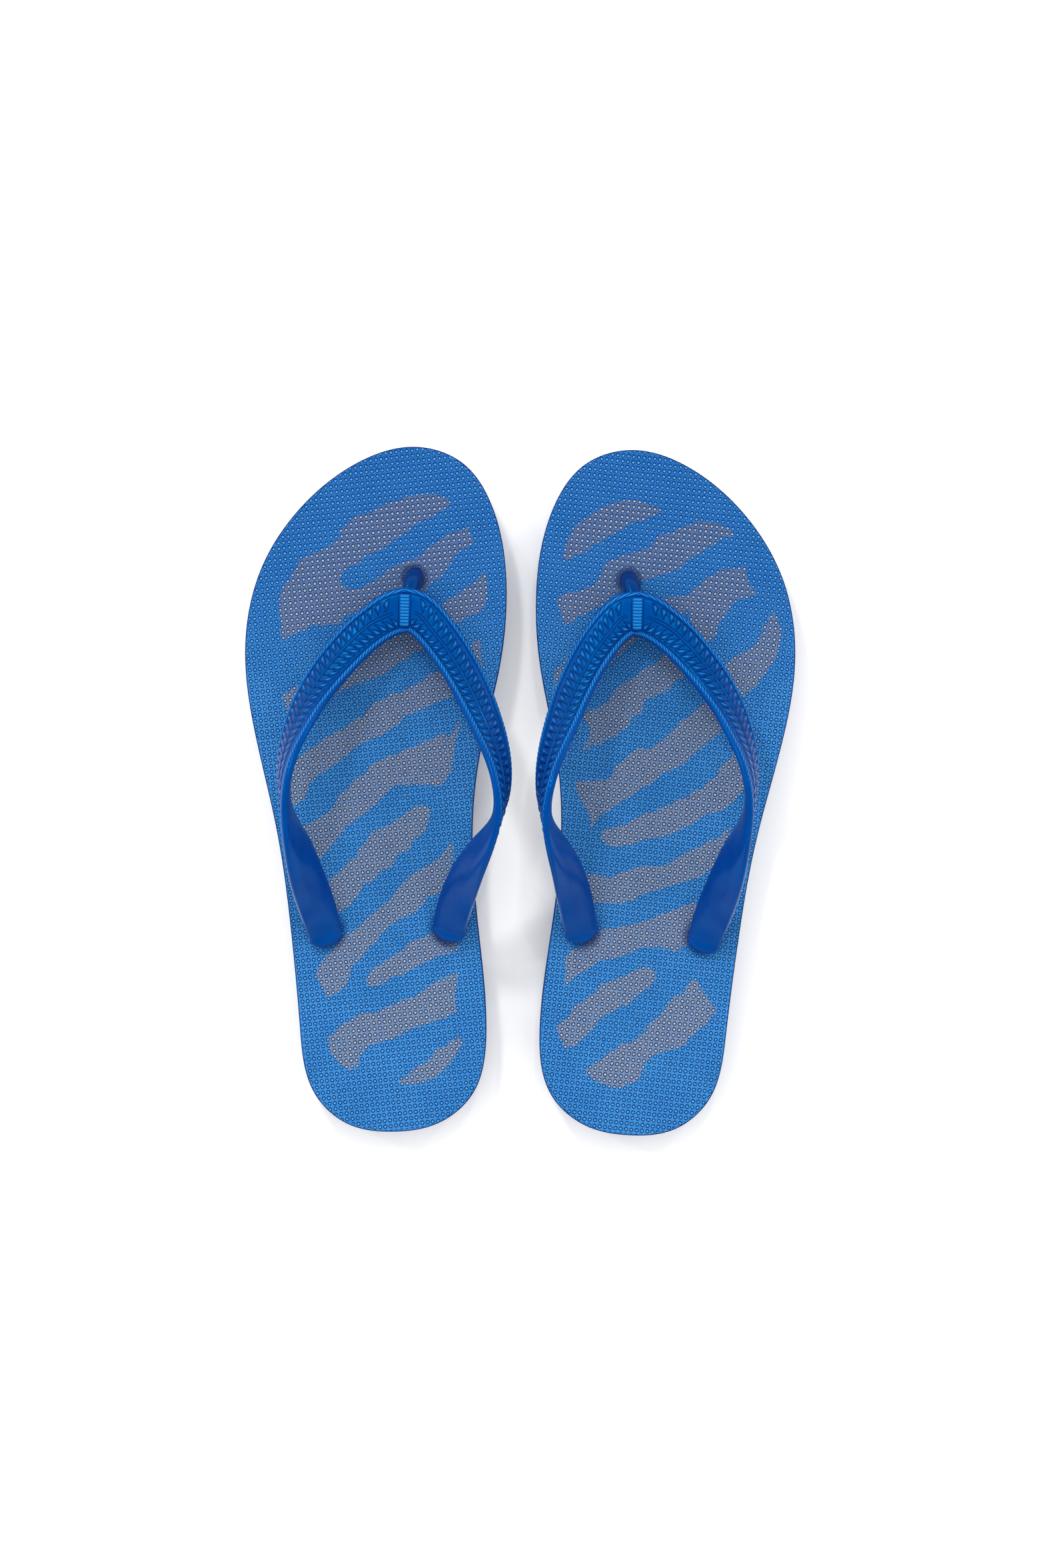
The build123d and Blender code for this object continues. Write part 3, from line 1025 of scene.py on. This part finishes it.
def build_stem(anchor, line):
    """A plug head with its stem, up into the underside of the band."""
    turn = np.linspace(0, 2 * pi, STEM_SIDES, endpoint=False)
    circle = np.stack([np.cos(turn), np.sin(turn)], 1)
    seam = 1 + 0.03 * bell(turn - 1.75 * pi, 0.09)
    oval = np.sign(circle) * np.abs(circle) ** (2 / 2.3) * seam[:, None]
    rings = [
        np.column_stack([anchor + circle * radius, np.full(STEM_SIDES, level)])
        for radius, level in HEAD_PROFILE
    ]
    path = np.array(line)
    knots = distances_along(path[:, :3])
    where = np.linspace(0, knots[-1], STEM_RINGS)
    spots = open_curve(path, knots, where)
    ways = curve_ways(path, knots, where, 0.1)
    across = np.array([1.0, 0.0, 0.0])
    for spot, way, share in zip(spots, ways, where / knots[-1]):
        side = across - way * across.dot(way)
        side /= norm(side)
        shape = circle + (oval - circle) * ramp(0.2, 0.5, share)
        shape = shape * spot[3]
        rings.append(
            spot[:3] + np.array([0, 0, FOOTBED_TOP])
            + shape[:, :1] * side + shape[:, 1:] * np.cross(way, side)
        )
    faces = tube_faces(len(rings), STEM_SIDES)
    return np.vstack(rings), [(face[0], *reversed(face[1:])) for face in faces]


def build_strap(name):
    """The moulded strap: band, ribbed yoke, toe post, stems and plug heads."""
    points, faces, relief = build_band(name)
    for anchor, line in STEMS.values():
        stem, stem_faces = build_stem(anchor, line)
        faces += [tuple(i + len(points) for i in face) for face in stem_faces]
        points = np.vstack([points, stem])
        relief = np.concatenate([relief, np.full(len(stem), STEM_SHADE)])
    return build_mesh(name, "strap", points, faces, relief=relief)


# ---- the materials ----
class Nodes:
    """A short way to write a node tree."""

    def __init__(self, name):
        self.material = bpy.data.materials.new(name)
        self.material.use_nodes = True
        self.tree = self.material.node_tree
        self.shader = self.tree.nodes["Principled BSDF"]

    def put(self, socket, value):
        """Set a socket to a value, or link another node's output to it."""
        if isinstance(value, bpy.types.NodeSocket):
            self.tree.links.new(value, socket)
        else:
            socket.default_value = value

    def add(self, kind, inputs=(), **settings):
        """A node with these settings and, by name or number, these inputs."""
        node = self.tree.nodes.new(kind)
        for key, value in settings.items():
            setattr(node, key, value)
        for key, value in dict(inputs).items():
            self.put(node.inputs[key], value)
        return node

    def attribute(self, name, output):
        return self.add("ShaderNodeAttribute", attribute_name=name).outputs[output]

    def noise(self, place, scale, detail=3.0):
        inputs = {"Vector": place, "Scale": scale, "Detail": detail, "Roughness": 0.55}
        return self.add("ShaderNodeTexNoise", inputs).outputs["Fac"]

    def spread(self, value, low, high, to_low=0.0, to_high=1.0):
        inputs = {
            "Value": value, "From Min": low, "From Max": high,
            "To Min": to_low, "To Max": to_high,
        }
        node = self.add("ShaderNodeMapRange", inputs, interpolation_type="SMOOTHSTEP")
        return node.outputs["Result"]

    def mix(self, factor, first, second):
        inputs = {"Factor": factor, 6: first, 7: second}
        return self.add("ShaderNodeMix", inputs, data_type="RGBA").outputs[2]

    def plus(self, first, second, kind="ADD"):
        return self.add("ShaderNodeMath", {0: first, 1: second}, operation=kind).outputs[0]

    def times(self, first, second):
        return self.plus(first, second, "MULTIPLY")

    def bump(self, height, strength, distance, under=None):
        inputs = {"Strength": strength, "Distance": distance, "Height": height}
        if under is not None:
            inputs["Normal"] = under
        return self.add("ShaderNodeBump", inputs).outputs["Normal"]

    def gloss(self, level, tint):
        """How strongly the surface shines, and in which colour."""
        self.put(self.shader.inputs["Specular IOR Level"], level)
        self.put(self.shader.inputs["Specular Tint"], (*tint, 1.0))

    def finish(self, colour, roughness, normal):
        self.put(self.shader.inputs["Base Color"], colour)
        self.put(self.shader.inputs["Roughness"], roughness)
        self.put(self.shader.inputs["Normal"], normal)
        return self.material


def linear(red, green, blue):
    """A screen colour, 0 to 255, as the linear colour a shader takes."""
    channel = np.array([red, green, blue]) / 255
    low = channel / 12.92
    high = ((channel + 0.055) / 1.055) ** 2.4
    return (*(float(v) for v in np.where(channel <= 0.04045, low, high)), 1.0)


def footbed_material():
    n = Nodes("printed_studded_foam")
    place = n.attribute("place", "Vector")
    relief = n.attribute("relief", "Fac")
    ink = n.attribute("ink", "Fac")
    cloud = n.noise(place, 55.0, 3.0)
    grain = n.noise(place, 900.0, 2.0)
    fine = n.noise(place, 2600.0, 2.0)

    # Painted shade: the land darkens to deep blue in the toe's hollows, round the strap's roots
    # and on the walls.
    shade = n.attribute("shade", "Fac")
    blue = n.mix(n.spread(cloud, 0.3, 0.7), linear(38, 105, 168), linear(47, 114, 177))
    blue = n.mix(n.spread(grain, 0.35, 0.7, 0.0, 0.3), blue, linear(72, 134, 188))
    blue = n.mix(n.times(shade, 0.8), blue, linear(6, 62, 132))
    # The grooves round the studs carry no ink and are painted much darker than the land: the bare
    # blue with painted shade in the grooves.
    ring_blue = n.mix(n.spread(grain, 0.3, 0.7), linear(0, 24, 84), linear(0, 32, 96))

    wobble = n.times(n.plus(grain, 0.5, "SUBTRACT"), 0.5)
    printed = n.spread(n.plus(ink, wobble), -0.05, 0.05)
    length = n.add("ShaderNodeSeparateXYZ", {0: place})
    thin_at_toe = n.spread(length.outputs[1], 0.15, 0.24, 0.96, 0.8)
    worn = n.spread(n.noise(place, 170.0), 0.25, 0.6, 0.86, 1.0)
    patchy = n.times(thin_at_toe, worn)
    cover = n.times(printed, patchy)
    grey = n.mix(n.spread(grain, 0.3, 0.7), linear(90, 108, 138), linear(106, 122, 150))
    # Painted highlight: the stud tops are lighter than the land, a little in the blue and more in
    # the print.
    stud_top_highlight = n.spread(relief, 0.01, 0.05, 0.0, 0.4)
    blue = n.mix(stud_top_highlight, blue, linear(84, 150, 200))
    grey = n.mix(n.times(stud_top_highlight, 1.3), grey, linear(172, 178, 188))
    # The print turns navy with the same painted shade, which there also stands for ink missing
    # from the hollows.
    grey = n.mix(n.times(shade, 0.7), grey, linear(32, 40, 92))
    land = n.mix(cover, blue, grey)
    # Grooves in the print: bare of ink, darkened further by painted shade.
    ring = n.mix(printed, ring_blue, linear(6, 12, 54))

    in_ring = n.spread(relief, 0.0, -0.06)
    colour = n.mix(in_ring, land, ring)
    n.gloss(0.16, (0.2, 0.55, 1.0))

    rough = n.spread(grain, 0.2, 0.8, 0.44, 0.6)
    pores = n.bump(fine, 0.25, 0.00008)
    normal = n.bump(grain, 0.2, 0.00025, pores)
    return n.finish(colour, rough, normal)


def foam_material(name, dark, light, seed_scale):
    """A cut foam edge: fine closed cells, with a few larger pores."""
    n = Nodes(name)
    place = n.attribute("place", "Vector")
    cloud = n.noise(place, 70.0 * seed_scale, 3.0)
    cells = n.add("ShaderNodeTexVoronoi", {"Vector": place, "Scale": 1500.0})
    pits = n.noise(place, 420.0, 3.0)
    colour = n.mix(n.spread(cloud, 0.3, 0.7), dark, light)
    speck = n.spread(cells.outputs["Distance"], 0.1, 0.75)
    colour = n.mix(n.times(speck, 0.22), colour, light)
    # Painted shade in the larger pores.
    shade = n.spread(pits, 0.34, 0.42, 0.75, 0.0)
    colour = n.mix(shade, colour, dark)
    rough = n.spread(pits, 0.2, 0.8, 0.62, 0.8)
    normal = n.bump(cells.outputs["Distance"], 0.5, 0.0002)
    normal = n.bump(pits, 0.35, 0.0003, normal)
    return n.finish(colour, rough, normal)


def strap_material():
    n = Nodes("moulded_strap_rubber")
    place = n.attribute("place", "Vector")
    relief = n.attribute("relief", "Fac")
    cloud = n.noise(place, 60.0, 3.0)
    grain = n.noise(place, 1300.0, 2.0)
    flow = n.noise(place, 210.0, 4.0)
    colour = n.mix(n.spread(cloud, 0.3, 0.7), linear(0, 50, 124), linear(0, 57, 132))
    # Painted shade in the decoration's grooves and on the stems, and a painted highlight on its
    # raised tops.
    colour = n.mix(n.spread(relief, 0.04, -0.16), colour, linear(0, 24, 74))
    colour = n.mix(n.spread(relief, 0.3, 0.56, 0.0, 0.8), colour, linear(40, 124, 190))
    n.gloss(0.35, (0.0, 0.5, 1.0))
    rough = n.spread(flow, 0.25, 0.75, 0.2, 0.3)
    normal = n.bump(flow, 0.12, 0.0003)
    normal = n.bump(grain, 0.16, 0.00008, normal)
    return n.finish(colour, rough, normal)


footbed_look = footbed_material()
midsole_look = foam_material("midsole_foam_edge", linear(20, 80, 146), linear(32, 95, 162), 1.0)
outsole_look = foam_material("outsole_foam_rubber", linear(10, 54, 116), linear(20, 69, 134), 1.6)
strap_look = strap_material()

for shoe in SHOES:
    for layer, build, look, slot_name in (
        ("footbed", build_footbed, footbed_look, "footbed_print"),
        ("midsole", build_midsole, midsole_look, "midsole_foam"),
        ("outsole", build_outsole, outsole_look, "outsole_rubber"),
    ):
        piece = build(shoe)
        piece.data.materials.append(look)
        nodes = [f"{shoe}_{layer}_rear", f"{shoe}_{layer}_front"]
        settle_on_shoe(piece, shoe, slot_name, *nodes)
    piece = build_strap(shoe)
    piece.data.materials.append(strap_look)
    settle_on_shoe(piece, shoe, "strap_rubber", f"{shoe}_strap")


# ---- the floor, the light, the camera ----
def floor_material():
    n = Nodes("studio_floor")
    where = n.add("ShaderNodeTexCoord").outputs["Object"]
    cloud = n.noise(where, 3.0, 2.0)
    cloudy = n.spread(cloud, 0.2, 0.8)
    colour = n.mix(cloudy, (0.93, 0.922, 0.895, 1.0), (0.94, 0.932, 0.905, 1.0))
    rough = n.spread(cloud, 0.2, 0.8, 0.9, 0.95)
    normal = n.bump(cloud, 0.02, 0.0001)
    n.gloss(0.0, (1.0, 1.0, 1.0))
    return n.finish(colour, rough, normal)


FLOOR_HALF = 30.0
corners = [(x * FLOOR_HALF, y * FLOOR_HALF, 0) for x, y in ((-1, -1), (1, -1), (1, 1), (-1, 1))]
floor_mesh = bpy.data.meshes.new("studio_floor")
floor_mesh.from_pydata(corners, [], [(0, 1, 2, 3)])
floor = add_object("studio_floor", floor_mesh)
floor.data.materials.append(floor_material())


def area_light(name, place, size, power):
    """A round white light that shines at the middle of the pair."""
    data = bpy.data.lights.new(name, "AREA")
    data.shape = "DISK"
    data.size = size
    data.energy = power
    lamp = add_object(name, data)
    lamp.location = place
    lamp.rotation_mode = "QUATERNION"
    lamp.rotation_quaternion = (-Vector(place)).to_track_quat("-Z", "Y")


GLINT_LIGHTS = [(-1.7, 0.7, 1.5), (-1.1, 1.9, 1.1), (1.4, 1.4, 1.3), (0.3, 1.2, 2.0)]
area_light("key_light", (-0.7, 1.5, 1.7), 0.3, 16.0)
area_light("fill_light", (1.3, -0.9, 1.8), 1.4, 3.0)
for number, place in enumerate(GLINT_LIGHTS):
    area_light(f"glint_light_{number}", place, 0.1, 4.0)

world = bpy.data.worlds.new("studio_air")
scene.world = world
world.use_nodes = True
sky = world.node_tree.nodes["Background"]
sky.inputs["Color"].default_value = (1, 1, 1, 1)
sky.inputs["Strength"].default_value = 1.25
scene.view_settings.view_transform = "Standard"
scene.view_settings.look = "None"

# Straight down, like the photograph, with the pair in the middle of the frame.
VIEW_HEIGHT = 2.4
FRAME_HEIGHT = 0.618
SENSOR = 36.0
CAMERA_PLACE = (0.0009, 0.0028, VIEW_HEIGHT + FOOTBED_TOP * MM)
camera_data = bpy.data.cameras.new("camera")
camera_data.sensor_width = SENSOR
camera_data.lens = SENSOR * VIEW_HEIGHT / FRAME_HEIGHT
camera = add_object("camera", camera_data)
camera.location = CAMERA_PLACE
bpy.context.scene.camera = camera
